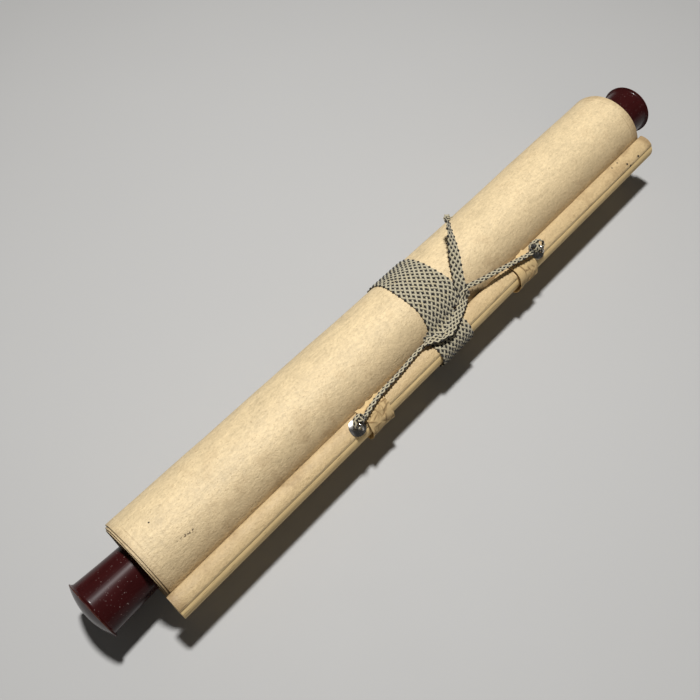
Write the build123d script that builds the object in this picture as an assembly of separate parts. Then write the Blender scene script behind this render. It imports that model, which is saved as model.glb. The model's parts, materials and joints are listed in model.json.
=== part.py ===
"""Hanging scroll of mounted paper, rolled up on its rod and tied with a flat braided cord.

Millimetres, Z up. The roll lies along X. The stave of the sheet's upper edge lies against the roll on
the -Y side. The origin is on the table, under the middle of the roll.
"""

import os
from math import acos, asin, atan2, cos, degrees, hypot, radians, sin, sqrt, tan

from build123d import *

# Fits
GLUE_FIT = 0.05             # between pieces that are glued or wound tight
LAID_FIT = 0.1              # between the stave's paper and the roll it lies against

# Sheet
SHEET_WIDTH = 391.4         # edge to edge, along the roll
SHEET_THICKNESS = 0.6       # paper with its backing layers
TURN_GAP = 0.48             # air between neighbouring turns
TURNS = 12                  # whole turns round the rod
FLAT_DEPTH = 0.42           # height that the roll's soft underside has lost to its flat spot
STAVE_BEND_RADIUS = 2.0     # bend where the sheet turns up along the stave, to the middle of the paper
OVERLAP_ANGLE = 14.0        # where the sheet's end is glued down, above the crown of the stave's round

# Rod
ROD_DIAMETER = 23.0
ROD_PROUD = 0.3             # shoulder of the rod beyond the sheet's edge
TENON_DIAMETER = 12.0
TENON_LENGTH = 16.0

# Knobs
KNOB_NECK_DIAMETER = 27.2   # next to the roll
KNOB_BARREL_DIAMETER = 29.8  # at the foot of the lip
KNOB_BARREL_LENGTH = 25.6
KNOB_HOLLOW = 0.12          # how far the barrel's side falls in from a straight line
KNOB_RIM_DIAMETER = 32.6
KNOB_LIP_LENGTH = 1.6
KNOB_RIM_WIDTH = 0.4
KNOB_DOME_HEIGHT = 3.6
KNOB_BORE_SPARE = 0.5       # bore beyond the tenon's end

# Stave
STAVE_LENGTH = 394.0
STAVE_HEIGHT = 16.0         # of its flat side
STAVE_STILT = 1.2           # straight part of the section between flat side and round
STAVE_EDGE_ROUND = 0.8
STAVE_LEAN = 8.0            # lean of the flat side against the roll, degrees
STAVE_DROP = 1.23           # middle of the stave below the point of contact, along the flat side

# Eyelets
EYELET_SPACING = 152.6
EYELET_ANGLE = 32.7         # from the stave's top towards its round back, degrees
DISC_DIAMETER = 9.4
DISC_CROWN = 1.2            # height of the disc's middle over the paper
DISC_DOME_RADIUS = 14.0
EYE_RADIUS = 2.3            # to the middle of the wire
EYE_WIRE_DIAMETER = 1.1
SHANK_DIAMETER = 1.6
SHANK_DEPTH = 6.0           # below the paper
PIN_HOLE_SPARE = 0.3        # hole beyond the shank's point

# Collars
COLLAR_WIDTH = 16.0
COLLAR_TO_DISC = 0.6        # inboard of the eyelet's disc
COLLAR_THICKNESS = 0.9
COLLAR_EASE = 1.15          # looseness round the stave's paper
COLLAR_SAG = 1.3            # shift of the loose collar away from the stave's middle
COLLAR_SAG_ANGLE = 200.0    # direction of that shift, degrees from +Y
COLLAR_START_ANGLE = 66.0   # upper end, in the crease, degrees from +Y
COLLAR_SWEEP = 214.0

# Tie cord
CORD_WIDTH = 6.5            # flat braid
CORD_THICKNESS = 1.0
CORD_PRESSED = 0.6          # what is left of the thickness under the roll
TIE_TURNS = 4
TIE_MIDDLE = 1.5            # along the roll
GROOVE_WIDTH = 0.4          # between neighbouring turns
GROOVE_DEPTH = 0.4
VALLEY_RADIUS = 6.0         # inside of the winding where it dips between stave and roll

# Free cords, as plain round cords with the section area of the flat braid
FREE_CORD_DIAMETER = 2.6
CORD_PAST_EYE = 1.2         # end of the hanging cord, through the eye
CORD_OVER_TIE = 0.3         # extra height where the hanging cord crosses the winding
CORD_SLACK = 0.9            # height of the hanging cord over the stave elsewhere
TAIL_REACH = 26.9           # along the roll, from the winding's edge
TAIL_LIFT = 8.1             # of its tip from the roll
TAIL_KNOT_DIAMETER = 4.2
RUN_SHARE = 0.45            # share of a run that one bend may use

# Hanging cord: place along half the eyelet spacing, place across in stave half heights from its middle
HANGING_CORD_SHARES = [
    (-0.830, -0.20),
    (-0.680, -0.02),
    (-0.517, 0.07),
    (-0.369, 0.22),
    (-0.250, 0.30),
    (-0.175, 0.12),
    (-0.110, -0.36),
    (-0.040, -0.45),
    (0.040, -0.14),
    (0.130, 0.15),
    (0.226, 0.42),
    (0.330, 0.41),
    (0.446, 0.20),
    (0.599, 0.00),
    (0.740, -0.30),
    (0.860, -0.47),
]
# Loose end of the tie cord: share of its reach, angle round the roll from +Y, share of its lift
TAIL_SHARES_AND_ANGLES = [
    (0.105, 139.5, 0.03),
    (0.260, 124.0, 0.06),
    (0.430, 108.5, 0.17),
    (0.706, 88.5, 0.53),
    (1.000, 73.5, 1.00),
]

PITCH = SHEET_THICKNESS + TURN_GAP
HALF_SHEET = SHEET_THICKNESS / 2
UPPER_SHIFT = PITCH / 4
FIRST_RADIUS = ROD_DIAMETER / 2 + GLUE_FIT + HALF_SHEET + UPPER_SHIFT
LAST_UPPER_RADIUS = FIRST_RADIUS + TURNS * PITCH
LAST_LOWER_RADIUS = LAST_UPPER_RADIUS + PITCH / 2
FLAT_LEVEL = LAST_LOWER_RADIUS + HALF_SHEET - FLAT_DEPTH
AXIS_HEIGHT = CORD_PRESSED + GLUE_FIT + FLAT_LEVEL
UPPER_CENTRE = (UPPER_SHIFT, AXIS_HEIGHT)
LOWER_CENTRE = (-UPPER_SHIFT, AXIS_HEIGHT)
ROD_HALF = SHEET_WIDTH / 2 + ROD_PROUD
OUT_ANGLE = 180 - STAVE_LEAN
UP_ANGLE = 90 - STAVE_LEAN


def around(centre, radius, angle):
    """Point of the YZ section at a radius and angle from a centre."""
    return (centre[0] + radius * cos(radians(angle)), centre[1] + radius * sin(radians(angle)))


def by_stave(out, up):
    """Point of the YZ section, out from the roll's axis and up along the stave's flat side."""
    foot = around((0, AXIS_HEIGHT), out, OUT_ANGLE)
    return around(foot, up, UP_ANGLE)


def arc(centre, radius, start, sweep):
    return CenterArc((*centre, 0), radius, start, sweep)


def line(start, end):
    return Line((*start, 0), (*end, 0))


def tangent_angle(first_centre, first_radius, second_centre, second_radius):
    """Angle of the outward normal of the straight run under two circles."""
    across = second_centre[0] - first_centre[0]
    rise = second_centre[1] - first_centre[1]
    apart = hypot(across, rise)
    return degrees(atan2(rise, across)) % 360 + degrees(acos((first_radius - second_radius) / apart)) - 360


def lower_half(radius, level, end_angle):
    """Lower half turn from the +Y side to an angle, with its flat spot at a level below the axis."""
    half = degrees(acos(level / radius))
    before = -90 + half
    after = -90 - half
    return [
        arc(LOWER_CENTRE, radius, 0, before),
        line(around(LOWER_CENTRE, radius, before), around(LOWER_CENTRE, radius, after)),
        arc(LOWER_CENTRE, radius, after, end_angle - after),
    ]


def slab(outline, width, middle=0):
    """Solid with a YZ outline, extruded along X about its middle."""
    return Pos(middle, 0, 0) * extrude(Plane.YZ * make_face(outline), amount=width / 2, both=True)


# Stave and the paper round it
SHEET_OUT = UPPER_SHIFT * cos(radians(OUT_ANGLE)) + LAST_UPPER_RADIUS + SHEET_THICKNESS + LAID_FIT
FLAT_OUT = SHEET_OUT + HALF_SHEET + GLUE_FIT
STAVE_RADIUS = STAVE_HEIGHT / 2
STAVE_CENTRE = by_stave(FLAT_OUT + STAVE_STILT, -STAVE_DROP)
PAPER_RADIUS = STAVE_RADIUS + GLUE_FIT + SHEET_THICKNESS
EDGE_OUT = FLAT_OUT + STAVE_EDGE_ROUND
EDGE_TOP = STAVE_RADIUS - STAVE_EDGE_ROUND - STAVE_DROP
EDGE_FOOT = -STAVE_RADIUS + STAVE_EDGE_ROUND - STAVE_DROP
BEND_CENTRE = by_stave(SHEET_OUT - STAVE_BEND_RADIUS, EDGE_FOOT)
LEAVE_ANGLE = tangent_angle(LOWER_CENTRE, LAST_LOWER_RADIUS, BEND_CENTRE, STAVE_BEND_RADIUS)


def sheet_side(offset):
    """One face of the sheet, from the rod to its end on the stave, offset from the middle of the paper."""
    edges = []
    for turn in range(TURNS):
        radius = FIRST_RADIUS + turn * PITCH + offset
        edges.append(arc(UPPER_CENTRE, radius, 180, -180))
        edges.append(arc(LOWER_CENTRE, radius + PITCH / 2, 0, -180))
    edges.append(arc(UPPER_CENTRE, LAST_UPPER_RADIUS + offset, 180, -180))
    leaving = LAST_LOWER_RADIUS + offset
    edges += lower_half(leaving, leaving - FLAT_DEPTH, LEAVE_ANGLE)
    bend = STAVE_BEND_RADIUS + offset
    edges.append(line(around(LOWER_CENTRE, leaving, LEAVE_ANGLE), around(BEND_CENTRE, bend, LEAVE_ANGLE)))
    edges.append(arc(BEND_CENTRE, bend, LEAVE_ANGLE, OUT_ANGLE - LEAVE_ANGLE - 360))
    edges.append(line(around(BEND_CENTRE, bend, OUT_ANGLE), by_stave(SHEET_OUT + offset, EDGE_TOP)))
    fold = STAVE_EDGE_ROUND + GLUE_FIT + HALF_SHEET - offset
    fold_centre = by_stave(EDGE_OUT, EDGE_TOP)
    edges.append(arc(fold_centre, fold, UP_ANGLE - 90, 90))
    wrap = PAPER_RADIUS - HALF_SHEET - offset
    edges.append(line(around(fold_centre, fold, UP_ANGLE), around(STAVE_CENTRE, wrap, UP_ANGLE)))
    edges.append(arc(STAVE_CENTRE, wrap, UP_ANGLE, 90 - OVERLAP_ANGLE))
    return edges


def end_cap(side_a, side_b, place):
    return Line(side_a @ place, side_b @ place)


outer = sheet_side(HALF_SHEET)
inner = sheet_side(-HALF_SHEET)
caps = [end_cap(outer[0], inner[0], 0), end_cap(outer[-1], inner[-1], 1)]
sheet = slab(outer + inner + caps, SHEET_WIDTH)

edge_centre_top = by_stave(EDGE_OUT, EDGE_TOP)
edge_centre_foot = by_stave(EDGE_OUT, EDGE_FOOT)
stave = slab(
    [
        line(by_stave(FLAT_OUT, EDGE_FOOT), by_stave(FLAT_OUT, EDGE_TOP)),
        arc(edge_centre_top, STAVE_EDGE_ROUND, UP_ANGLE - 90, 90),
        line(
            around(edge_centre_top, STAVE_EDGE_ROUND, UP_ANGLE),
            around(STAVE_CENTRE, STAVE_RADIUS, UP_ANGLE),
        ),
        arc(STAVE_CENTRE, STAVE_RADIUS, UP_ANGLE, 180),
        line(
            around(STAVE_CENTRE, STAVE_RADIUS, UP_ANGLE + 180),
            around(edge_centre_foot, STAVE_EDGE_ROUND, UP_ANGLE + 180),
        ),
        arc(edge_centre_foot, STAVE_EDGE_ROUND, UP_ANGLE + 180, 90),
    ],
    STAVE_LENGTH,
)

# Rod with its tenons
rod = Pos(0, 0, AXIS_HEIGHT) * Rotation(0, 90, 0) * (
    Cylinder(ROD_DIAMETER / 2, 2 * ROD_HALF) + Cylinder(TENON_DIAMETER / 2, 2 * (ROD_HALF + TENON_LENGTH))
)

# Knob, turned round X from its seat on the rod's shoulder
neck = KNOB_NECK_DIAMETER / 2
foot = KNOB_BARREL_DIAMETER / 2
rim = KNOB_RIM_DIAMETER / 2
rim_start = KNOB_BARREL_LENGTH + KNOB_LIP_LENGTH
rim_end = rim_start + KNOB_RIM_WIDTH
tip = rim_end + KNOB_DOME_HEIGHT
bore_radius = TENON_DIAMETER / 2 + GLUE_FIT
bore_end = TENON_LENGTH + KNOB_BORE_SPARE
dome_radius = (rim**2 + KNOB_DOME_HEIGHT**2) / (2 * KNOB_DOME_HEIGHT)
dome_angle = degrees(asin(rim / dome_radius))
waist = (KNOB_BARREL_LENGTH / 2, (neck + foot) / 2 - KNOB_HOLLOW)
side = ThreePointArc((0, neck), waist, (KNOB_BARREL_LENGTH, foot))
knob_outline = [
    side,
    TangentArc((KNOB_BARREL_LENGTH, foot), (rim_start, rim), tangent=side % 1),
    Line((rim_start, rim), (rim_end, rim)),
    CenterArc((tip - dome_radius, 0), dome_radius, dome_angle, -dome_angle),
    Line((tip, 0), (bore_end, 0)),
    Line((bore_end, 0), (bore_end, bore_radius)),
    Line((bore_end, bore_radius), (0, bore_radius)),
    Line((0, bore_radius), (0, neck)),
]
knob = revolve(Plane.XZ * make_face(knob_outline), Axis.X)
knob_right = Pos(ROD_HALF + GLUE_FIT, 0, AXIS_HEIGHT) * knob
knob_left = mirror(knob_right, Plane.YZ)

# Eyelets: a domed disc seated on the stave's paper, an eye with its shank, and the hole for the shank
eyelet_angle = UP_ANGLE + EYELET_ANGLE
eye_height = DISC_CROWN + GLUE_FIT + EYE_WIRE_DIAMETER / 2 + EYE_RADIUS
eye_seat = around(STAVE_CENTRE, PAPER_RADIUS, eyelet_angle)
eye_centre = around(STAVE_CENTRE, PAPER_RADIUS + eye_height, eyelet_angle)
seat_plane = Plane(
    origin=(0, *eye_seat),
    x_dir=(1, 0, 0),
    z_dir=(0, cos(radians(eyelet_angle)), sin(radians(eyelet_angle))),
)
upward = (Align.CENTER, Align.CENTER, Align.MIN)
hole_radius = SHANK_DIAMETER / 2 + GLUE_FIT
hole = seat_plane * Pos(0, 0, -SHANK_DEPTH - PIN_HOLE_SPARE) * Cylinder(
    hole_radius, SHANK_DEPTH + PIN_HOLE_SPARE + eye_height, align=upward
)
shank_length = SHANK_DEPTH + eye_height - EYE_RADIUS
shank = Pos(0, 0, -SHANK_DEPTH) * Cylinder(SHANK_DIAMETER / 2, shank_length, align=upward)
eye = Pos(0, 0, eye_height) * Rotation(0, 90, 0) * Torus(EYE_RADIUS, EYE_WIRE_DIAMETER / 2)
eye_pin = seat_plane * (shank + eye)
blank = Pos(0, 0, -DISC_DIAMETER / 2) * Cylinder(DISC_DIAMETER / 2, DISC_DIAMETER, align=upward)
dome = Pos(0, 0, DISC_CROWN - DISC_DOME_RADIUS) * Sphere(DISC_DOME_RADIUS)
papered_round = Cylinder(PAPER_RADIUS + GLUE_FIT, 2 * DISC_DIAMETER)
papered_round = Pos(0, *STAVE_CENTRE) * Rotation(0, 90, 0) * papered_round
disc = seat_plane * (blank & dome) - papered_round - hole
eyelet_right = Pos(EYELET_SPACING / 2, 0, 0)
eyelet_left = Pos(-EYELET_SPACING / 2, 0, 0)
pin_holes = eyelet_right * hole + eyelet_left * hole
sheet -= pin_holes
stave -= pin_holes

# Collars: loose open sleeves of paper round the stave
collar_middle = (EYELET_SPACING - DISC_DIAMETER - COLLAR_WIDTH) / 2 - COLLAR_TO_DISC
collar_inside = PAPER_RADIUS + COLLAR_EASE
collar_centre = around(STAVE_CENTRE, COLLAR_SAG, COLLAR_SAG_ANGLE)
collar_faces = [
    arc(collar_centre, collar_inside, COLLAR_START_ANGLE, COLLAR_SWEEP),
    arc(collar_centre, collar_inside + COLLAR_THICKNESS, COLLAR_START_ANGLE, COLLAR_SWEEP),
]
collar_caps = [end_cap(*collar_faces, 0), end_cap(*collar_faces, 1)]
collar_right = slab(collar_faces + collar_caps, COLLAR_WIDTH, collar_middle)
collar_left = slab(collar_faces + collar_caps, COLLAR_WIDTH, -collar_middle)

# Winding of the tie cord: round the roll, under it, up round the stave and down into the crease
TIE_UPPER = LAST_UPPER_RADIUS + HALF_SHEET + GLUE_FIT
TIE_LOWER = TIE_UPPER + PITCH / 2
TIE_STAVE = PAPER_RADIUS + GLUE_FIT
RISE_ANGLE = tangent_angle(LOWER_CENTRE, TIE_LOWER, STAVE_CENTRE, TIE_STAVE)


def circle_meet(first, first_radius, second, second_radius):
    """Upper meeting point of two circles of the section, the first one left of the second."""
    across = second[0] - first[0]
    rise = second[1] - first[1]
    apart = hypot(across, rise)
    corner = acos((first_radius**2 + apart**2 - second_radius**2) / (2 * first_radius * apart))
    return around(first, first_radius, degrees(atan2(rise, across) + corner))


def angle_from(centre, point):
    return degrees(atan2(point[1] - centre[1], point[0] - centre[0]))


VALLEY_CENTRE = circle_meet(STAVE_CENTRE, TIE_STAVE + VALLEY_RADIUS, UPPER_CENTRE, TIE_UPPER + VALLEY_RADIUS)
STAVE_END_ANGLE = angle_from(STAVE_CENTRE, VALLEY_CENTRE)
ROLL_START_ANGLE = angle_from(UPPER_CENTRE, VALLEY_CENTRE)


def tie_outline(offset, level):
    """Closed outline of the winding, offset outward from its inside, with its flat spot at a level."""
    stave_turn = RISE_ANGLE % 360 - STAVE_END_ANGLE
    valley_turn = ROLL_START_ANGLE - STAVE_END_ANGLE
    return [
        arc(UPPER_CENTRE, TIE_UPPER + offset, ROLL_START_ANGLE, -ROLL_START_ANGLE),
        *lower_half(TIE_LOWER + offset, level, RISE_ANGLE),
        line(
            around(LOWER_CENTRE, TIE_LOWER + offset, RISE_ANGLE),
            around(STAVE_CENTRE, TIE_STAVE + offset, RISE_ANGLE),
        ),
        arc(STAVE_CENTRE, TIE_STAVE + offset, RISE_ANGLE, -stave_turn),
        arc(VALLEY_CENTRE, VALLEY_RADIUS - offset, STAVE_END_ANGLE + 180, valley_turn),
    ]


tie_width = TIE_TURNS * CORD_WIDTH
inside = slab(tie_outline(0, TIE_LOWER - FLAT_DEPTH), 2 * tie_width, TIE_MIDDLE)
tie = slab(tie_outline(CORD_THICKNESS - GROOVE_DEPTH, AXIS_HEIGHT), tie_width - GROOVE_WIDTH, TIE_MIDDLE)
for turn in range(TIE_TURNS):
    turn_middle = TIE_MIDDLE + (turn - (TIE_TURNS - 1) / 2) * CORD_WIDTH
    tie += slab(tie_outline(CORD_THICKNESS, AXIS_HEIGHT), CORD_WIDTH - GROOVE_WIDTH, turn_middle)
tie -= inside

# Free cords
cord_radius = FREE_CORD_DIAMETER / 2


def height_over(centre, radius, across):
    """Height of a free cord's middle where it lies on a round of the section."""
    reach = radius + cord_radius + GLUE_FIT
    return centre[1] + sqrt(max(reach**2 - (across - centre[0]) ** 2, 0))


def hanging_point(along_share, across_share):
    """Middle of the hanging cord where it lies on the stave, a collar or the winding, in the crease."""
    along = along_share * EYELET_SPACING / 2
    across = STAVE_CENTRE[0] + across_share * STAVE_RADIUS
    on_tie = abs(along - TIE_MIDDLE) < tie_width / 2 + CORD_WIDTH
    on_collar = abs(abs(along) - collar_middle) < COLLAR_WIDTH / 2 + CORD_WIDTH
    under = GLUE_FIT + CORD_THICKNESS if on_tie else 0
    heights = [
        height_over(STAVE_CENTRE, PAPER_RADIUS + under, across),
        height_over(UPPER_CENTRE, LAST_UPPER_RADIUS + HALF_SHEET + under, across),
    ]
    if on_collar:
        heights.append(height_over(collar_centre, collar_inside + COLLAR_THICKNESS, across))
    spare = CORD_OVER_TIE if on_tie or on_collar else CORD_SLACK
    return (along, across, max(heights) + spare)


def tail_point(along_share, angle, lift_share):
    along = TIE_MIDDLE + tie_width / 2 + along_share * TAIL_REACH
    radius = LAST_UPPER_RADIUS + HALF_SHEET + cord_radius + LAID_FIT + lift_share * TAIL_LIFT
    return (along, *around(UPPER_CENTRE, radius, angle))


def cord(name, points):
    """Round cord along straight runs that tangent arcs join."""
    runs = [Vector(*b) - Vector(*a) for a, b in zip(points, points[1:])]
    radii = []
    for before, after in zip(runs, runs[1:]):
        half_turn = radians(before.get_angle(after)) / 2
        radii.append(RUN_SHARE * min(before.length, after.length) / tan(half_turn))
    path = FilletPolyline(*points, radius=radii)
    start = Plane(origin=path @ 0, z_dir=path % 0)
    solid = sweep(start * Circle(cord_radius), path=path)
    print(name, "length", round(path.length, 1), "bend radii", [round(r, 1) for r in radii])
    plain_volume = path.length * Circle(cord_radius).area
    print(name, "volume over section times length", round(solid.volume / plain_volume, 4))
    return solid


past_eye = EYELET_SPACING / 2 + CORD_PAST_EYE
hanging_route = [hanging_point(*row) for row in HANGING_CORD_SHARES]
hanging_route = [(-past_eye, *eye_centre)] + hanging_route + [(past_eye, *eye_centre)]
hanging_cord = cord("hanging_cord", hanging_route)
tail_route = [tail_point(*row) for row in TAIL_SHARES_AND_ANGLES]
tail = cord("tie_cord_tail", tail_route) + Pos(*tail_route[-1]) * Sphere(TAIL_KNOT_DIAMETER / 2)

os.makedirs("parts", exist_ok=True)
pieces = {
    "scroll_sheet": sheet,
    "roller_rod": rod,
    "roller_knob_left": knob_left,
    "roller_knob_right": knob_right,
    "top_stave": stave,
    "eyelet_disc_left": eyelet_left * disc,
    "eyelet_disc_right": eyelet_right * disc,
    "eyelet_pin_left": eyelet_left * eye_pin,
    "eyelet_pin_right": eyelet_right * eye_pin,
    "paper_collar_left": collar_left,
    "paper_collar_right": collar_right,
    "hanging_cord": hanging_cord,
    "tie_cord_turns": tie,
    "tie_cord_tail": tail,
}
for name, piece in pieces.items():
    export_step(piece, f"parts/{name}.step")
    box = piece.bounding_box()
    heights = f"z {box.min.Z:.2f} to {box.max.Z:.2f}"
    print(f"{name}: {len(piece.solids())} solid, {piece.volume:.0f} mm3, {heights}")
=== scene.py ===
"""Dresses a rolled and tied hanging scroll: aged paper, lacquered knobs, polished eyes and braided cord."""

import json
from math import acos, atan2, cos, degrees, hypot, pi, radians, sin

import bmesh
import bpy
import numpy as np
from mathutils import Matrix, Vector
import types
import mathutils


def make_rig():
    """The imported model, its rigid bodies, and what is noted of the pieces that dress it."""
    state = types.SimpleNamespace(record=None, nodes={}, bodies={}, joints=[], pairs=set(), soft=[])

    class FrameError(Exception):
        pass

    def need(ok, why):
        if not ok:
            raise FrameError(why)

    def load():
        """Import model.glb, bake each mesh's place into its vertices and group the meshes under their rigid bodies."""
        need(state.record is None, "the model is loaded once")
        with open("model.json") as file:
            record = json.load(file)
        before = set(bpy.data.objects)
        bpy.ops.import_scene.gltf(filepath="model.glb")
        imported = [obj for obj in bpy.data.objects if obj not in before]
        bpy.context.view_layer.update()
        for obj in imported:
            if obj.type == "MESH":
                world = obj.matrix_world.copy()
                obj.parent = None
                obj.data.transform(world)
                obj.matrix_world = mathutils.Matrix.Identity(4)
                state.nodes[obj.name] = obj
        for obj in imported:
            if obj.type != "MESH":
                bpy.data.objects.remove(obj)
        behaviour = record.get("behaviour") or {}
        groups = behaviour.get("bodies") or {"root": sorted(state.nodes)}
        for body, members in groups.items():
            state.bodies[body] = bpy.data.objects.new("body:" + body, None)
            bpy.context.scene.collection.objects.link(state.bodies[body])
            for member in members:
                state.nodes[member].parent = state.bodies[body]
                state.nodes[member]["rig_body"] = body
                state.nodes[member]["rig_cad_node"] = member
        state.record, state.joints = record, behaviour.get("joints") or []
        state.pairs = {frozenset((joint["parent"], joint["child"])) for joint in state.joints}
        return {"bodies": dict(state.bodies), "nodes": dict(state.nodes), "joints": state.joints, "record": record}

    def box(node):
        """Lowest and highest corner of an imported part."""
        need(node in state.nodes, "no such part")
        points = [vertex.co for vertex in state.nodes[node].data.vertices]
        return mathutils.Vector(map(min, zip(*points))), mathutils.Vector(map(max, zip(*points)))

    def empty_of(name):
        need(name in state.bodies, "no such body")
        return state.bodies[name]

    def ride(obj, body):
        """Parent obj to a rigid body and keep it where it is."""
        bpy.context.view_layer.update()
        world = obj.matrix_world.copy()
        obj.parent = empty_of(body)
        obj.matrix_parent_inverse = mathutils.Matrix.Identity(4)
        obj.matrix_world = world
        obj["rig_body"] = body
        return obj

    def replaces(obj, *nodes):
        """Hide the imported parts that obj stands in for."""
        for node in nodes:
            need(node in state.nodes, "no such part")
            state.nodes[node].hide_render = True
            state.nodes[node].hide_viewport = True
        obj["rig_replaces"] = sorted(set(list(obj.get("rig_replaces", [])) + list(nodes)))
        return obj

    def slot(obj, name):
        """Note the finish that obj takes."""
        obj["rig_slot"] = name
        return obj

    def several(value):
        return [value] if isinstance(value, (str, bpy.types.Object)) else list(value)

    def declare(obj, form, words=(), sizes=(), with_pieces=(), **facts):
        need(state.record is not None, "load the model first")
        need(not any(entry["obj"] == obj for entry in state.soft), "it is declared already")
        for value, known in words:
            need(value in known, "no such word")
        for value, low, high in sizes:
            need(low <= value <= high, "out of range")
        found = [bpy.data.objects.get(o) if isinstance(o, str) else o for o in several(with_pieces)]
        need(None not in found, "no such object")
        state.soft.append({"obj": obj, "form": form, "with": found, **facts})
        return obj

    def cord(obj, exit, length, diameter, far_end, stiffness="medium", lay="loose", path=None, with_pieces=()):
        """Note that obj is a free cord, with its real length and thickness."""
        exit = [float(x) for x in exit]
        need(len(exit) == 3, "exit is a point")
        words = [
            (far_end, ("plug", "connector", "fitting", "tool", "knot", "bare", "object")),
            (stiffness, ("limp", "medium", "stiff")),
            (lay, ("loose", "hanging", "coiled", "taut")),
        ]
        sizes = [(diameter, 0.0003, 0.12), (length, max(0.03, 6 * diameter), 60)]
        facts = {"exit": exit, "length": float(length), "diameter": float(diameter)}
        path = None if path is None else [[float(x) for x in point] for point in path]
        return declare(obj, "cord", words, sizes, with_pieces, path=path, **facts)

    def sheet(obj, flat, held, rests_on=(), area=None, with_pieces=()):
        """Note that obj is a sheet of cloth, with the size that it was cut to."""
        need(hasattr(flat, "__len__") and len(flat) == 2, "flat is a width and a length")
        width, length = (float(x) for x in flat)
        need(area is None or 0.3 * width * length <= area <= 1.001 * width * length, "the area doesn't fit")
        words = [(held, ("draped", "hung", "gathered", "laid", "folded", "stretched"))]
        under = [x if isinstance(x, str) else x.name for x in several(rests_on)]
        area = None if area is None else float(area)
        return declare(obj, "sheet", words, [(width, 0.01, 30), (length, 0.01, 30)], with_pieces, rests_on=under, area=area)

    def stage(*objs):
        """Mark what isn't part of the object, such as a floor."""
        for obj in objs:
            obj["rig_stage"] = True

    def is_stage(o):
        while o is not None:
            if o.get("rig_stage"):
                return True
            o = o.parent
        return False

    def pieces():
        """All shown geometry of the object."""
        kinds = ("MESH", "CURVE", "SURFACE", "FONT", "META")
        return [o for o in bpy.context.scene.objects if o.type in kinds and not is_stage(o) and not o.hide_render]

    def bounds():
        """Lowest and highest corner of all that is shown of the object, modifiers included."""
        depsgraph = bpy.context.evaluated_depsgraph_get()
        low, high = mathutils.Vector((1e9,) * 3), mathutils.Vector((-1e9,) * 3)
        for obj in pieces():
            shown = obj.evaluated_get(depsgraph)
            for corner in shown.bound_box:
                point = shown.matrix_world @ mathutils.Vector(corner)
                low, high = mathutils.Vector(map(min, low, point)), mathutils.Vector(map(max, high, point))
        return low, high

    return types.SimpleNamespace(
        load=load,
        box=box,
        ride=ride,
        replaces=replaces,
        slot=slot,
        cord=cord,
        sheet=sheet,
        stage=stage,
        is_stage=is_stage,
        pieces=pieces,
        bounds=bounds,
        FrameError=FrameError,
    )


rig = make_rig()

bl_info = {
    "name": "Tied hanging scroll",
    "version": (1, 0, 0),
    "blender": (4, 5, 0),
    "location": "View3D > Sidebar > Scroll",
    "description": "Dresses a rolled and tied hanging scroll with paper, lacquer, metal and braided cord",
    "category": "Object",
}

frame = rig.load()
CAD_BOX = [list(corner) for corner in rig.bounds()]
MM = 0.001

# Section of the scroll across X
STAVE_LEAN = 8
OUT_ANGLE = 180 - STAVE_LEAN
UP_ANGLE = 90 - STAVE_LEAN
STAVE_STILT = 1.2 * MM
STAVE_RADIUS = 8 * MM
STAVE_EDGE_ROUND = 0.8 * MM
STAVE_DROP = 1.23 * MM
GLUE_FIT = 0.05 * MM
LAID_FIT = 0.1 * MM
FLAT_DEPTH = 0.42 * MM
BEND_RADIUS = 2 * MM
WRAP_SWEEP = 59  # shorter than the solid's, so that the seam shows
WRAP_PARED = 0.4 * MM  # taken off the outside of the wrap's glued edge
VALLEY_RADIUS = 6 * MM

# Waist in the roll where it is tied: depth, place along the roll, reach and the side it is on
TIE_WAIST = 1.4 * MM
TIE_PLACE = 10 * MM
TIE_REACH = 115 * MM
TIE_ANGLE = radians(53)

# Sheet: how far in its columns of points lie, points of its fold and wrap, where it is worn, and how far the painted
# shade reaches from the crease and the painted shadow line from the seam
EDGE_INSETS = np.array([0, 0.5, 1.2, 2.2, 3.4, 4.7, 5.1, 6.5, 9, 13, 19, 27]) * MM
FOLD_POINTS = 7
WRAP_POINTS = 28
WORN_SIDES = (190 * MM, 196 * MM)
HEM_LINE = 190.6 * MM
CREASE_SHADE_REACH = 24 * MM
SEAM_SHADOW_REACH = 0.7 * MM

# Collars: where they start and end round the stave, in degrees, width in millimetres, air and half thickness
COLLAR_START = 66
COLLAR_END = 280
COLLAR_WIDTH = 16
COLLAR_AIR = 0.75 * MM
COLLAR_HALF = 0.22 * MM

# Eyes: distance of their middle from X = 0, and where they stand
EYE_X = 76.3 * MM
EYE = np.array([-32.3, 40.28]) * MM

# Routes of the free cords: points in millimetres, each with the way the flat braid faces there
HANGING_ROUTE = [
    (-77.5, -32.3, 40.28, 0, 0.25, 1),
    (-63.33, -28.57, 40.6, 0, 0.35, 0.95),
    (-51.88, -27.13, 40.56, 0, 0.35, 0.95),
    (-39.45, -26.41, 39.58, 0, 0.4, 0.9),
    (-28.15, -25.21, 39.44, 0, 0.4, 0.9),
    (-19.07, -24.57, 39.31, -0.1, 0.3, 0.95),
    (-13.35, -26, 39.3, -0.1, 0.1, 1),
    (-8.39, -29.6, 38.9, 0, -0.1, 1),
    (-3.05, -30.3, 38.6, 0, -0.3, 0.95),
    (3.05, -27.9, 39.1, 0, -0.3, 0.95),
    (9.92, -25.6, 39.3, 0, -0.3, 0.95),
    (15.2, -23.6, 41.2, 0, -0.4, 0.9),
    (20.5, -19.6, 47.6, 0, -0.3, 0.95),
    (29.3, -22.1, 45.6, -0.2, -0.2, 0.95),
    (40.7, -24.5, 44.4, -0.2, -0.1, 0.95),
    (52, -26.9, 43.1, -0.2, -0.1, 0.95),
    (63.3, -29.3, 41.9, -0.1, 0, 1),
    (71.8, -31.1, 40.9, 0, 0.15, 1),
    (77.5, -32.3, 40.28, 0, 0.25, 1),
]
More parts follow.
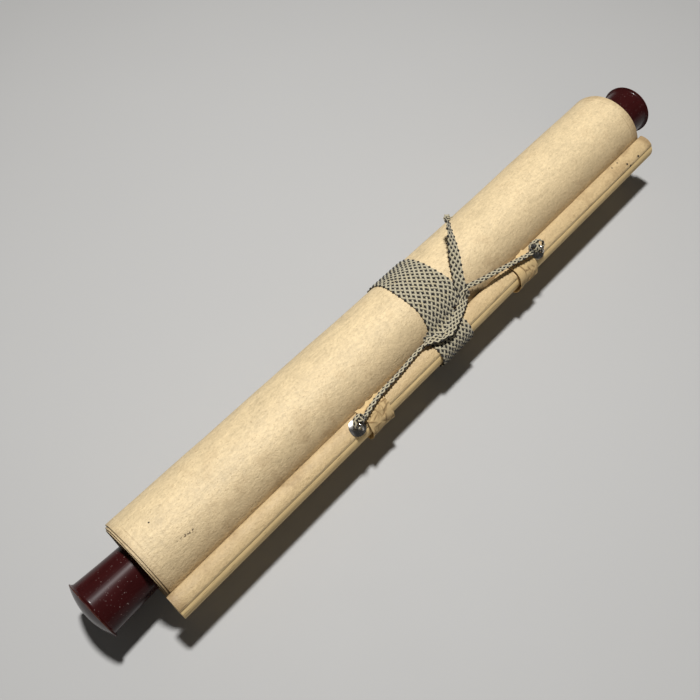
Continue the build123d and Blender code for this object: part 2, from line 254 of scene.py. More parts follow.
# The tie cord's last stretch, from the hanging cord across the winding to where its end stands up
CROSSING_ROUTE = [
    (-18, -24.9, 39.7, 0.1, 0.8, 0.5),
    (-14.2, -25.6, 41.6, 0, 0.2, 0.98),
    (-10.6, -28.2, 41.9, -0.2, -0.1, 0.98),
    (-7, -29.9, 40.7, 0.1, 0.6, 0.65),
    (-3, -30.4, 41, 0, 0, 1),
    (3, -28.7, 41.8, -0.2, -0.3, 0.92),
    (9.6, -26.5, 42, -0.2, -0.4, 0.9),
    (15.2, -24.4, 42.4, -0.2, -0.5, 0.8),
    (19.8, -22.3, 42.2, -0.4, -0.65, 0.65),
]
TAIL_ROUTE = [
    (20, -22.3, 42.2, -0.5, -0.6, 0.61),
    (20.5, -20.2, 45.4, -0.54, -0.56, 0.62),
    (21.2, -16.4, 49.1, -0.5, -0.45, 0.74),
    (26.6, -9.2, 54.7, -0.43, -0.22, 0.85),
    (31.5, -2.9, 59.2, 0.05, -0.55, 0.8),
    (36.4, 3.8, 63.4, 0.48, -0.66, 0.5),
    (40.1, 8.8, 65.4, 0.56, -0.66, 0.4),
]
# A knot, in millimetres from the left eye: through the eye, back over its wire and round the cord
KNOT_ROUTE = [
    (7, 2.4, 0.8), (3.4, 1.2, 0.6), (0, 0, 0.2), (-2.6, -0.4, 0.8), (-3, 1.2, 3.4),
    (-0.6, 2.6, 5), (2.6, 3.6, 4.6), (4.6, 4.2, 2.4), (4.6, 2.6, 0), (3.8, 0, 0.9),
    (2.8, -0.2, 3.2), (1.4, 1.6, 4.4), (0.2, 3.8, 3.6), (0.6, 4.6, 1.8),
]
KNOT_HEART = (1.6, 2, 2.4)  # which its braid faces away from
# Size of the knot at each eye, and of the tie cord where it is drawn narrow
KNOT_SIZES = {"left": 0.95, "right": 1.1}
CROSSING_SIZE = 0.78

# Marks on the paper, in millimetres: wormholes by the stave's right end and one on the roll, each with its size,
# and the two ends of a scuff
WORMHOLES = [
    ((182, -32.6, 35.2), 0.95),
    ((170.7, -31.5, 36), 0.85),
    ((172.75, -33.45, 34.3), 1.05),
    ((166.2, -26.7, 37.3), 0.55),
    ((160.5, -26.7, 37.3), 0.55),
    ((-180.9, 2.1, 51.46), 0.5),
]
SCUFF_START = (-179.4, -12.6, 48.2)
SCUFF_END = (-169.4, -14, 47.3)
SCUFF_COLOUR = (0.055, 0.03, 0.012)
HOLE_COLOUR = (0.018, 0.01, 0.005)

# Lacquer: where the knobs' rims take a lighter line, part wear and part painted highlight, and the colours there and
# of dust; pores of the wood; aged yarn
RIM_WEAR_AND_HIGHLIGHT = (15.85 * MM, 16.25 * MM)
RIM_WEAR_AND_HIGHLIGHT_COLOUR = (0.1, 0.035, 0.022)
DUST_COLOUR = (0.38, 0.3, 0.27)
PORE_COLOUR = (0.14, 0.075, 0.03)
YARN_AGED = (0.86, 0.76, 0.55)

# Stage: lamp overhead, soft light at the side, surroundings and floor, in metres
KEY_PLACE = (0.03, 0.1, 1.08)
KEY_SIZE = 0.1
FILL_PLACE = (-0.9, -0.7, 0.9)
FILL_SIZE = 1.2
SKY_COLOUR = (0.88, 0.86, 0.82, 1)
SKY_STRENGTH = 0.06
FLOOR_HALF = 3


def sized(name, description, default, unit="LENGTH"):
    """A setting with a unit."""
    return bpy.props.FloatProperty(name=name, description=description, default=default, unit=unit, precision=5)


def tinted(name, description, default):
    """A setting that is a colour."""
    return bpy.props.FloatVectorProperty(name=name, description=description, default=default, subtype="COLOR")


class PaperSettings(bpy.types.PropertyGroup):
    """Sizes and colours of the mounted paper."""

    thickness: sized("Thickness", "Paper with its backing layers", 0.6 * MM)
    turn_gap: sized("Turn gap", "Air between neighbouring turns", 0.48 * MM)
    turns: bpy.props.IntProperty(name="Turns", description="Whole turns round the rod", default=12, min=2)
    hem: sized("Hem", "Width of the folded side hems", 5 * MM)
    back_colour: tinted("Back", "Aged backing paper on the roll", (0.63, 0.49, 0.285))
    wrap_colour: tinted("Wrap", "Yellower paper round the stave", (0.72, 0.54, 0.285))
    # The stain colour is also the brown of the painted shade toward the crease and of the painted shadow line along
    # the seam
    stain_and_shade_colour: tinted("Stain", "Brown of specks, scuffs and worn edges", (0.2, 0.115, 0.045))
    collar_colour: tinted("Collar", "Creased paper of the collars", (0.6, 0.43, 0.21))


class CordSettings(bpy.types.PropertyGroup):
    """Sizes and colours of the flat braid."""

    tie_width: sized("Tie width", "Width of the tie cord", 6.6 * MM)
    hanging_width: sized("Hanging width", "Width of the hanging cord", 3 * MM)
    thickness: sized("Thickness", "Thickness of the braid", 1.15 * MM)
    row: sized("Row", "Length of one row of crossings", 2.05 * MM)
    yarn: sized("Yarn", "Width of one light strand", 1.28 * MM)
    dot: sized("Dot", "Size of the dark yarn where it shows", 1.68 * MM)
    hanging_yarn: sized("Hanging yarn", "Width of a hanging cord strand", 0.95 * MM)
    hanging_dot: sized("Hanging dot", "Dark yarn of the hanging cord", 1.2 * MM)
    light_colour: tinted("Light yarn", "Cream strands", (0.42, 0.375, 0.26))
    dark_colour: tinted("Dark yarn", "Nearly black strands", (0.016, 0.013, 0.01))


class HardSettings(bpy.types.PropertyGroup):
    """Colours of the knobs, the eyes and the wood."""

    lacquer_colour: tinted("Lacquer", "Dark red lacquer of the knobs", (0.029, 0.0046, 0.0046))
    metal_colour: tinted("Metal", "Polished metal of the eyes", (0.58, 0.56, 0.53))
    wood_colour: tinted("Wood", "Bare wood of rod and stave", (0.8, 0.585, 0.28))


class StageSettings(bpy.types.PropertyGroup):
    """Floor and light."""

    floor_colour: tinted("Floor", "Plain pale floor", (0.42, 0.415, 0.405))
    key_power: sized("Key", "Power of the lamp overhead", 14.7, "POWER")
    fill_power: sized("Fill", "Power of the soft side light", 0.7, "POWER")


class Value:
    """A value in a node tree, so that its sums read as plain expressions."""

    def __init__(self, graph, socket):
        self.graph = graph
        self.socket = socket

    def math(self, operation, *values):
        return self.graph.node("ShaderNodeMath", dict(enumerate((self, *values))), operation=operation)

    def __add__(self, other):
        return self.math("ADD", other)

    def __sub__(self, other):
        return self.math("SUBTRACT", other)

    def __rsub__(self, other):
        return self.graph.node("ShaderNodeMath", {0: other, 1: self}, operation="SUBTRACT")

    def __mul__(self, other):
        return self.math("MULTIPLY", other)

    def __truediv__(self, other):
        return self.math("DIVIDE", other)

    __radd__ = __add__
    __rmul__ = __mul__

    def step(self, low, high):
        """Smooth rise from 0 at low to 1 at high."""
        inputs = {"Value": self, "From Min": low, "From Max": high}
        return self.graph.node("ShaderNodeMapRange", inputs, interpolation_type="SMOOTHSTEP")

    def twin(self, name):
        """Another output of the same node."""
        return Value(self.graph, self.socket.node.outputs[name])


class Graph:
    """A node tree being written. A node's kind may be given without the tree's own prefix."""

    prefix = "GeometryNode"

    def __init__(self, tree):
        self.tree = tree

    def node(self, kind, inputs=None, out=0, **settings):
        made = self.tree.nodes.new(kind if "Node" in kind else self.prefix + kind)
        for key, setting in settings.items():
            setattr(made, key, setting)
        for key, value in (inputs or {}).items():
            self.plug(made.inputs[key], value)
        return Value(self, made.outputs[out])

    def plug(self, socket, value):
        if isinstance(value, Value):
            self.tree.links.new(value.socket, socket)
        else:
            socket.default_value = value

    def vector(self, operation, first, second=(0, 0, 0), out="Vector"):
        inputs = {0: first, "Scale" if operation == "SCALE" else 1: second}
        return self.node("ShaderNodeVectorMath", inputs, out=out, operation=operation)


class Finish(Graph):
    """A material on Object coordinates, written as a graph that ends in one shader."""

    prefix = "ShaderNode"

    def __init__(self, name, **constants):
        self.material = bpy.data.materials.new(name)
        self.material.use_nodes = True
        super().__init__(self.material.node_tree)
        self.set(**constants)
        self.place = self.node("TexCoord", out="Object")

    def set(self, **values):
        shader = self.tree.nodes["Principled BSDF"]
        for key, value in values.items():
            self.plug(shader.inputs[key.replace("_", " ").title().replace("Ior", "IOR")], value)
        return self.material

    def noise(self, size, detail=3, rough=0.55, share=1):
        """Noise from 0 to 1 with features of that size in metres. A share below 1 draws them out along X."""
        place = self.place
        if share < 1:
            place = self.node("Mapping", {"Vector": place, "Scale": (share, 1, 1)})
        return self.node("TexNoise", {"Vector": place, "Scale": 1 / size, "Detail": detail, "Roughness": rough})

    def attribute(self, name):
        return self.node("Attribute", out="Fac", attribute_name=name)

    def mix(self, factor, first, second, blend="MIX"):
        """Colour between two colours."""
        inputs = {0: factor, 6: self.opaque(first), 7: self.opaque(second)}
        return self.node("Mix", inputs, out=2, data_type="RGBA", blend_type=blend)

    def shade(self, colour, amount):
        """Colour times a value."""
        grey = self.node("CombineColor", {0: amount, 1: amount, 2: amount})
        return self.mix(1, colour, grey, "MULTIPLY")

    def near(self, spots):
        """1 at each of several points in millimetres, falling to 0 at the distance given with it."""
        total = 0
        for point, size in spots:
            gap = self.vector("DISTANCE", self.place, tuple(c * MM for c in point), out="Value")
            total = (1 - gap.step(size * MM * 0.55, size * MM)).math("MAXIMUM", total)
        return total

    def bump(self, height, distance, strength):
        self.set(normal=self.node("Bump", {"Height": height, "Distance": distance, "Strength": strength}))

    @staticmethod
    def opaque(colour):
        return colour if isinstance(colour, Value) else (*colour, 1)


class Profile:
    """Places in the section across X, from the rod outwards, in metres."""

    def __init__(self, paper):
        low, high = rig.box("roller_rod")
        self.axis = (low.z + high.z) / 2
        self.half = paper.thickness / 2
        self.turns = paper.turns
        self.pitch = paper.thickness + paper.turn_gap
        shift = self.pitch / 4
        self.upper = (shift, self.axis)
        self.lower = (-shift, self.axis)
        self.first = (high.z - low.z) / 2 + GLUE_FIT + self.half + shift
        self.last_upper = self.first + self.turns * self.pitch
        self.last_lower = self.last_upper + self.pitch / 2
        self.sheet_out = shift * cos(radians(OUT_ANGLE)) + self.last_upper + paper.thickness + LAID_FIT
        flat_out = self.sheet_out + self.half + GLUE_FIT
        self.stave = self.by_stave(flat_out + STAVE_STILT, -STAVE_DROP)
        self.paper_radius = STAVE_RADIUS + GLUE_FIT + paper.thickness
        edge = STAVE_RADIUS - STAVE_EDGE_ROUND
        self.fold = self.by_stave(flat_out + STAVE_EDGE_ROUND, edge - STAVE_DROP)
        self.bend = self.by_stave(self.sheet_out - BEND_RADIUS, -edge - STAVE_DROP)
        self.leave = self.under(self.lower, self.last_lower, self.bend, BEND_RADIUS)

    def by_stave(self, out, up):
        foot = polar((0, self.axis), out, OUT_ANGLE)
        return tuple(polar(foot, up, UP_ANGLE))

    @staticmethod
    def under(first, first_radius, second, second_radius):
        """Angle of the straight run that leaves one round below and meets another."""
        across = second[0] - first[0]
        rise = second[1] - first[1]
        turn = acos((first_radius - second_radius) / hypot(across, rise))
        return degrees(atan2(rise, across)) % 360 + degrees(turn) - 360


def polar(centre, radius, angle):
    """Points of the section at an angle, or at each of several, from a centre."""
    turn = np.radians(angle)
    return np.stack([centre[0] + radius * np.cos(turn), centre[1] + radius * np.sin(turn)], axis=-1)


def drawn_in(points, profile):
    """The paper and the winding where the tight cord draws the roll in, on the side away from the stave."""
    away = points[..., 1:] - np.array([0, profile.axis])
    radius = np.linalg.norm(away, axis=-1, keepdims=True)
    away = away / radius
    near = np.exp(-(((points[..., :1] - TIE_PLACE) / TIE_REACH) ** 2))
    facing = np.clip(away @ np.array([[cos(TIE_ANGLE)], [sin(TIE_ANGLE)]]), 0, 1)
    depth = np.clip((radius - profile.first) / (profile.last_upper - profile.first), 0, 1)
    moved = points.copy()
    moved[..., 1:] -= TIE_WAIST * near * facing * depth * away
    return moved


def placed(name, data):
    """Object in the scene for a mesh, curve, lamp or camera."""
    thing = bpy.data.objects.new(name, data)
    bpy.context.scene.collection.objects.link(thing)
    return thing


def new_piece(name, mesh, *materials):
    for material in materials:
        mesh.materials.append(material)
    return placed(name, mesh)


def evaluated(holder):
    """Plain mesh of an object as its modifiers leave it. The object itself goes."""
    mesh = bpy.data.meshes.new_from_object(holder.evaluated_get(bpy.context.evaluated_depsgraph_get()))
    bpy.data.objects.remove(holder)
    return mesh


def closed_mesh(name, points, faces):
    """Mesh of a closed shell with its faces outwards, shaded smooth except at sharp edges."""
    mesh = bpy.data.meshes.new(name)
    mesh.from_pydata(points.tolist(), [], faces)
    shell = bmesh.new()
    shell.from_mesh(mesh)
    bmesh.ops.remove_doubles(shell, verts=shell.verts, dist=1e-7)
    bmesh.ops.recalc_face_normals(shell, faces=shell.faces)
    shell.to_mesh(mesh)
    shell.free()
    mesh.shade_smooth()
    mesh.set_sharp_from_angle(angle=radians(50))
    return mesh


def quads(*corners):
    """Faces from grids of their first, second, third and fourth corners."""
    return np.stack(corners, axis=-1).reshape(-1, 4).tolist()


def two_sided(outer, inner):
    """Points and faces of a thick sheet from its two faces, each a grid of points."""
    rows, columns = outer.shape[:2]
    points = np.concatenate([outer.reshape(-1, 3), inner.reshape(-1, 3)])
    at = np.arange(rows * columns).reshape(rows, columns)
    below = at + rows * columns
    faces = quads(at[:-1, :-1], at[1:, :-1], at[1:, 1:], at[:-1, 1:])
    faces += quads(below[:-1, :-1], below[:-1, 1:], below[1:, 1:], below[1:, :-1])
    for edge in (np.s_[0], np.s_[-1], np.s_[:, 0], np.s_[:, -1]):
        line, twin = at[edge], below[edge]
        faces += quads(line[:-1], line[1:], twin[1:], twin[:-1])
    return points, faces


def smooth_route(points):
    """Points along a smooth line with the given control points, in metres."""
    curve = bpy.data.curves.new("route", "CURVE")
    curve.dimensions = "3D"
    curve.resolution_u = 16
    spline = curve.splines.new("NURBS")
    spline.points.add(len(points) - 1)
    for control, point in zip(spline.points, points):
        control.co = (*(c * MM for c in point), 1)
    spline.order_u = 3
    spline.use_endpoint_u = True
    mesh = evaluated(placed("route", curve))
    line = np.array([vertex.co for vertex in mesh.vertices])
    bpy.data.curves.remove(curve)
    bpy.data.meshes.remove(mesh)
    return line


def along(line):
    """Distance of each point of a line from its start."""
    steps = np.linalg.norm(np.diff(line, axis=0), axis=1)
    return np.concatenate([[0], np.cumsum(steps)])


def unit(ways):
    """Directions of unit length."""
    return ways / np.linalg.norm(ways, axis=-1, keepdims=True)


def square_to(line, ways):
    """Directions made square to the line and of unit length."""
    tangent = unit(np.gradient(line, axis=0))
    return unit(ways - (ways * tangent).sum(axis=1, keepdims=True) * tangent)


def routed(route):
    """Smooth line of a free cord, and the ways its braid faces along it."""
    places, ways = np.hsplit(np.array(route, float), 2)
    line = smooth_route(places)
    share = along(places)
    at = along(line)
    spread = [np.interp(at / at[-1], share / share[-1], way) for way in ways.T]
    return line, square_to(line, np.stack(spread, axis=1))


def braid_tree():
    """Geometry Nodes for a flat braid: light strands that cross over and under, dark yarn between them."""
    tree = bpy.data.node_groups.new("flat_braid", "GeometryNodeTree")
    asked = {"Geometry": "Geometry", **dict.fromkeys(("Width", "Thickness", "Row", "Yarn", "Dot"), "Float")}
    asked |= {"Strands": "Int", "Light yarn": "Material", "Dark yarn": "Material"}
    for name, kind in asked.items():
        tree.interface.new_socket(name, in_out="INPUT", socket_type="NodeSocket" + kind)
    tree.interface.new_socket("Geometry", in_out="OUTPUT", socket_type="NodeSocketGeometry")
    graph = Graph(tree)
    node, vector = graph.node, graph.vector
    given = tree.nodes.new("NodeGroupInput").outputs
    start, width, thickness, row, yarn, dot, count, light, dark = (Value(graph, given[name]) for name in asked)
    face = node("InputNamedAttribute", {"Name": "face"}, data_type="FLOAT_VECTOR")

    def moved(geometry, tangent, sideways, outwards):
        across = vector("NORMALIZE", vector("CROSS_PRODUCT", tangent, face))
        offset = vector("ADD", vector("SCALE", across, sideways), vector("SCALE", face, outwards))
        return node("SetPosition", {"Geometry": geometry, "Offset": offset})

    def swept(line, half_width, half_thickness, material):
        line = node("SetCurveNormal", {"Curve": line, "Normal": face}, mode="FREE")
        ring = node("CurvePrimitiveCircle", {"Resolution": 8, "Radius": 1})
        size = node("ShaderNodeCombineXYZ", {0: half_thickness, 1: half_width, 2: 1})
        ring = node("Transform", {"Geometry": ring, "Scale": size})
        tube = node("CurveToMesh", {"Curve": line, "Profile Curve": ring, "Fill Caps": True})
        return node("SetMaterial", {"Geometry": tube, "Material": material})

    route = node("MeshToCurve", {"Mesh": start})
    fine = node("ResampleCurve", {"Curve": route, "Length": row / 4}, mode="LENGTH")
    length = node("SplineParameter", out="Length")
    reach = (width - yarn) / 2
    copies = node("DuplicateElements", {"Geometry": fine, "Amount": count}, domain="SPLINE")
    crossing = length / row + copies.twin("Duplicate Index") * 2
    swing = crossing.math("PINGPONG", count) * 2 / count - 1
    turn = ((crossing * pi / count).math("SINE") * 1.5).math("MAXIMUM", -1).math("MINIMUM", 1)
    rise = (crossing * pi).math("COSINE") * turn * thickness * -0.15
    strands = moved(copies, node("InputTangent"), swing * reach, rise)
    strands = swept(strands, yarn / 2, thickness * 0.23, light)
    ground = swept(fine, reach + yarn * 0.2, thickness * 0.13, dark)

    def dots(line, columns):
        points = node("CurveToPoints", {"Curve": line, "Length": row * 1.999}, mode="LENGTH")
        copies = node("DuplicateElements", {"Geometry": points, "Amount": columns}, domain="POINT")
        sideways = (copies.twin("Duplicate Index") - (columns - 1) / 2) * reach * 4 / count
        spots = moved(copies, points.twin("Tangent"), sideways, thickness * -0.1)
        ball = node("MeshIcoSphere", {"Radius": dot / 2, "Subdivisions": 2})
        balls = node("InstanceOnPoints", {"Points": spots, "Instance": ball, "Scale": (1, 1, 0.8)})
        balls = node("RealizeInstances", {"Geometry": balls})
        return node("SetMaterial", {"Geometry": balls, "Material": dark})

    # The start and end lengths of Trim Curve share their names with its factors, so they go by number
    end = node("CurveLength", {"Curve": route}) - row
    between = node("TrimCurve", {"Curve": route, 4: row, 5: end}, mode="LENGTH")
    joined = tree.nodes.new("GeometryNodeJoinGeometry")
    columns = count / 2
    for part in (strands, ground, dots(route, columns), dots(between, columns + 1)):
        tree.links.new(part.socket, joined.inputs[0])
    smooth = node("SetShadeSmooth", {"Geometry": Value(graph, joined.outputs[0])})
    tree.links.new(smooth.socket, tree.nodes.new("NodeGroupOutput").inputs[0])
    return tree


def tie_size(cord, share):
    """Inputs of the braid for the tie cord, or for it drawn narrower."""
    sizes = {"Width": cord.tie_width, "Yarn": cord.yarn, "Dot": cord.dot}
    return {"Strands": 4, **{key: size * share for key, size in sizes.items()}}


def hanging_size(cord):
    """Inputs of the braid for the narrow hanging cord."""
    return {"Strands": 2, "Width": cord.hanging_width, "Yarn": cord.hanging_yarn, "Dot": cord.hanging_dot}


def braid(name, line, faces, size, settings):
    """Plain mesh of a flat braid that follows a line and faces the given ways."""
    tree = bpy.data.node_groups.get("flat_braid") or braid_tree()
    mesh = bpy.data.meshes.new(name)
    mesh.from_pydata(line.tolist(), [(i, i + 1) for i in range(len(line) - 1)], [])
    attribute = mesh.attributes.new("face", "FLOAT_VECTOR", "POINT")
    attribute.data.foreach_set("vector", faces.astype(np.float32).ravel())
    holder = placed(name, mesh)
    modifier = holder.modifiers.new("braid", "NODES")
    modifier.node_group = tree
    length = along(line)[-1]
    values = {
        "Thickness": settings.thickness,
        "Row": length / round(length / (2 * settings.row)) / 2,
        **size,
        "Light yarn": yarn_finish("light_yarn", settings.light_colour, 0.3),
        "Dark yarn": yarn_finish("dark_yarn", settings.dark_colour, 0.45),
    }
    for socket in tree.interface.items_tree:
        if socket.in_out == "INPUT" and socket.name in values:
            modifier[socket.identifier] = values[socket.name]
    solid = evaluated(holder)
    bpy.data.meshes.remove(mesh)
    if not solid.polygons:
        raise RuntimeError(f"{name}: the braid came out empty")
    solid.name = name
    return new_piece(name, solid)


def tubes(name, lines, radius, sides, material):
    """Mesh of thin round fibres along several lines."""
    points = []
    faces = []
    for line in lines:
        tangent = np.gradient(line, axis=0)
        side = unit(np.cross(tangent, [0.31, 0.47, 0.83]))
        other = unit(np.cross(tangent, side))
        start = sum(len(ring) for ring in points)
        for step in range(sides):
            angle = 2 * pi * step / sides
            points.append(line + radius * (cos(angle) * side + sin(angle) * other))
        at = start + np.arange(sides * len(line)).reshape(sides, len(line))
        turned = np.roll(at, -1, axis=0)
        faces += quads(at[:, :-1], at[:, 1:], turned[:, 1:], turned[:, :-1])
        faces += [at[:, 0].tolist(), at[::-1, -1].tolist()]
    return new_piece(name, closed_mesh(name, np.concatenate(points), faces), material)


def paper_finish(paper):
    """Aged backing paper: mottled, finely specked, brown at its edges, yellower round the stave, with painted shade
    toward the crease and a painted shadow line along the seam.
    """
    ink = Finish("mounting_paper", specular_ior_level=0.5)
    wrap = ink.attribute("wrap")
    broad = ink.noise(0.055, 4)
    blotch = ink.noise(0.01, 4, 0.6)
    streak = ink.noise(0.0026, 4, 0.65, 0.16)
    fibre = ink.noise(0.0013, 3, 0.65, 0.6)
    grit = ink.noise(0.0009, 2, 0.6)
    specks = grit.step(0.58, 0.74)
    flecks = ink.noise(0.0024, 2, 0.5).step(0.64, 0.74)
    tone = 0.12 + 0.32 * broad + 0.42 * blotch + 0.4 * streak + 0.7 * fibre
    colour = ink.shade(ink.mix(wrap, paper.back_colour, paper.wrap_colour), tone)
    colour = ink.mix(specks * (0.16 + 0.48 * broad) + flecks * 0.14, colour, paper.stain_and_shade_colour)
    span = ink.node("SeparateXYZ", {0: ink.place}).math("ABSOLUTE")
    rim = span.step(*WORN_SIDES) * (0.1 + 0.45 * blotch)
    hem = (span - HEM_LINE).math("ABSOLUTE")
    rim = rim + (1 - hem.step(0.0001, 0.0006)) * (1 - wrap) * blotch.step(0.36, 0.6) * 0.26
    damp = (blotch * broad).step(0.27, 0.4) * 0.2
    # Worn sides, hem line and damp stains, plus painted shade toward the crease and a painted shadow line along the
    # seam
    stain = rim + damp + ink.attribute("painted_shade") * (0.25 + 0.45 * blotch)
    colour = ink.mix(stain.math("MINIMUM", 0.75), colour, paper.stain_and_shade_colour)
    start, end = np.array(SCUFF_START), np.array(SCUFF_END)
    scuff = ink.near([(start + (end - start) * share, 0.6 + 0.7 * share) for share in np.linspace(0, 1, 6)])
    scratch = ink.noise(0.0007, 2, 0.6, 0.6).step(0.5, 0.6)
    colour = ink.mix(scuff * scratch * 0.9, colour, SCUFF_COLOUR)
    holes = ink.near(WORMHOLES)
    colour = ink.mix(holes * 0.94, colour, HOLE_COLOUR)
    ink.bump(fibre * 1.1 + grit * 1.3 + streak * 0.8 + blotch * 0.8 - holes * 3, 0.00026, 0.85)
    return ink.set(base_color=colour, roughness=0.5 + 0.22 * blotch)


def collar_finish(paper):
    """Creased paper, brown where it has been folded."""
    ink = Finish("collar_paper", specular_ior_level=0.25)
    blotch = ink.noise(0.006, 4, 0.6)
    fibre = ink.noise(0.0008, 3, 0.6)
    grit = ink.noise(0.00045, 1, 0.5).step(0.6, 0.74)
    colour = ink.shade(paper.collar_colour, 0.62 + 0.45 * blotch + 0.22 * fibre)
    stain = ink.attribute("crease") * (0.8 + 0.9 * blotch) + grit * 0.3
    colour = ink.mix(stain.math("MINIMUM", 0.85), colour, paper.stain_and_shade_colour)
    ink.bump(fibre * 0.6 + blotch - grit * 0.3, 0.00015, 0.6)
    return ink.set(base_color=colour, roughness=0.76 + 0.14 * fibre)


def yarn_finish(name, colour, soft):
    """Spun yarn: fine fibres, a little uneven in colour."""
    made = bpy.data.materials.get(name)
    if made:
        return made
    ink = Finish(name, specular_ior_level=0.2, sheen_weight=soft, sheen_roughness=0.5)
    fibre = ink.noise(0.00028, 3, 0.65)
    patch = ink.noise(0.0042, 3, 0.6)
    aged = tuple(c * k for c, k in zip(colour, YARN_AGED))
    tint = ink.mix(patch.step(0.45, 0.75) * 0.45, colour, aged)
    tint = ink.shade(tint, 0.55 + 0.62 * fibre + 0.28 * patch)
    ink.bump(fibre, 0.00012, 0.8)
    return ink.set(base_color=tint, roughness=0.82 + 0.12 * patch)


def lacquer_finish(hard):
    """Dark red lacquer with streaks, dust in its gloss and a lighter rim line, part wear and part painted highlight.
    """
    ink = Finish("lacquer", ior=1.3, specular_ior_level=0.2, coat_ior=1.3, coat_roughness=0.1)
    low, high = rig.box("roller_knob_right")
    middle = (0, (low.y + high.y) / 2, (low.z + high.z) / 2)
    spot = ink.vector("SUBTRACT", ink.place, middle)
    radius = ink.vector("LENGTH", ink.vector("MULTIPLY", spot, (0, 1, 1)), out="Value")
    streak = ink.noise(0.0032, 4, 0.6, 0.1)
    cloud = ink.noise(0.012, 4, 0.6)
    dust = ink.noise(0.00085, 2, 0.5).step(0.665, 0.735) * cloud.step(0.36, 0.62)
    # A lighter red-brown line round the rim: part worn lacquer, part painted highlight along the lip
    worn = radius.step(*RIM_WEAR_AND_HIGHLIGHT) * ink.noise(0.004, 3).step(0.36, 0.56)
    colour = ink.shade(hard.lacquer_colour, 0.35 + 0.9 * streak + 0.5 * cloud)
    colour = ink.mix(worn * 0.5, colour, RIM_WEAR_AND_HIGHLIGHT_COLOUR)
    colour = ink.mix(dust * 0.45, colour, DUST_COLOUR)
    ink.bump(streak * 0.5 + dust, 0.00004, 0.35)
    rough = 0.2 + 0.16 * cloud + 0.35 * dust
    return ink.set(base_color=colour, roughness=rough, coat_weight=0.24 - 0.2 * dust)


def metal_finish(hard):
    """Polished metal, hazy and finely scratched."""
    ink = Finish("polished_metal")
    haze = ink.noise(0.0022, 4, 0.6)
    scratch = ink.noise(0.0003, 2, 0.6, 0.15)
    colour = ink.shade(hard.metal_colour, 0.72 + 0.3 * haze)
    ink.bump(scratch, 0.00001, 0.3)
    return ink.set(base_color=colour, metallic=0.92 + 0.08 * haze, roughness=0.1 + 0.22 * haze)


def wood_finish(name, hard):
    """Bare pale wood with its grain along the stave."""
    ink = Finish(name, specular_ior_level=0.3)
    grain = ink.noise(0.0016, 4, 0.6, 0.05)
    figure = ink.noise(0.009, 3, 0.5, 0.15)
    pores = ink.noise(0.0006, 2, 0.5, 0.08).step(0.6, 0.72)
    colour = ink.shade(hard.wood_colour, 0.55 + 0.5 * grain + 0.4 * figure)
    colour = ink.mix(pores * 0.4, colour, PORE_COLOUR)
    ink.bump(grain - pores * 0.5, 0.00012, 0.5)
    return ink.set(base_color=colour, roughness=0.62 + 0.2 * grain)


def paint(names, material):
    """Gives carried-over solids a finish."""
    for name in names:
        solid = frame["nodes"][name].data
        solid.materials.clear()
        solid.materials.append(material)


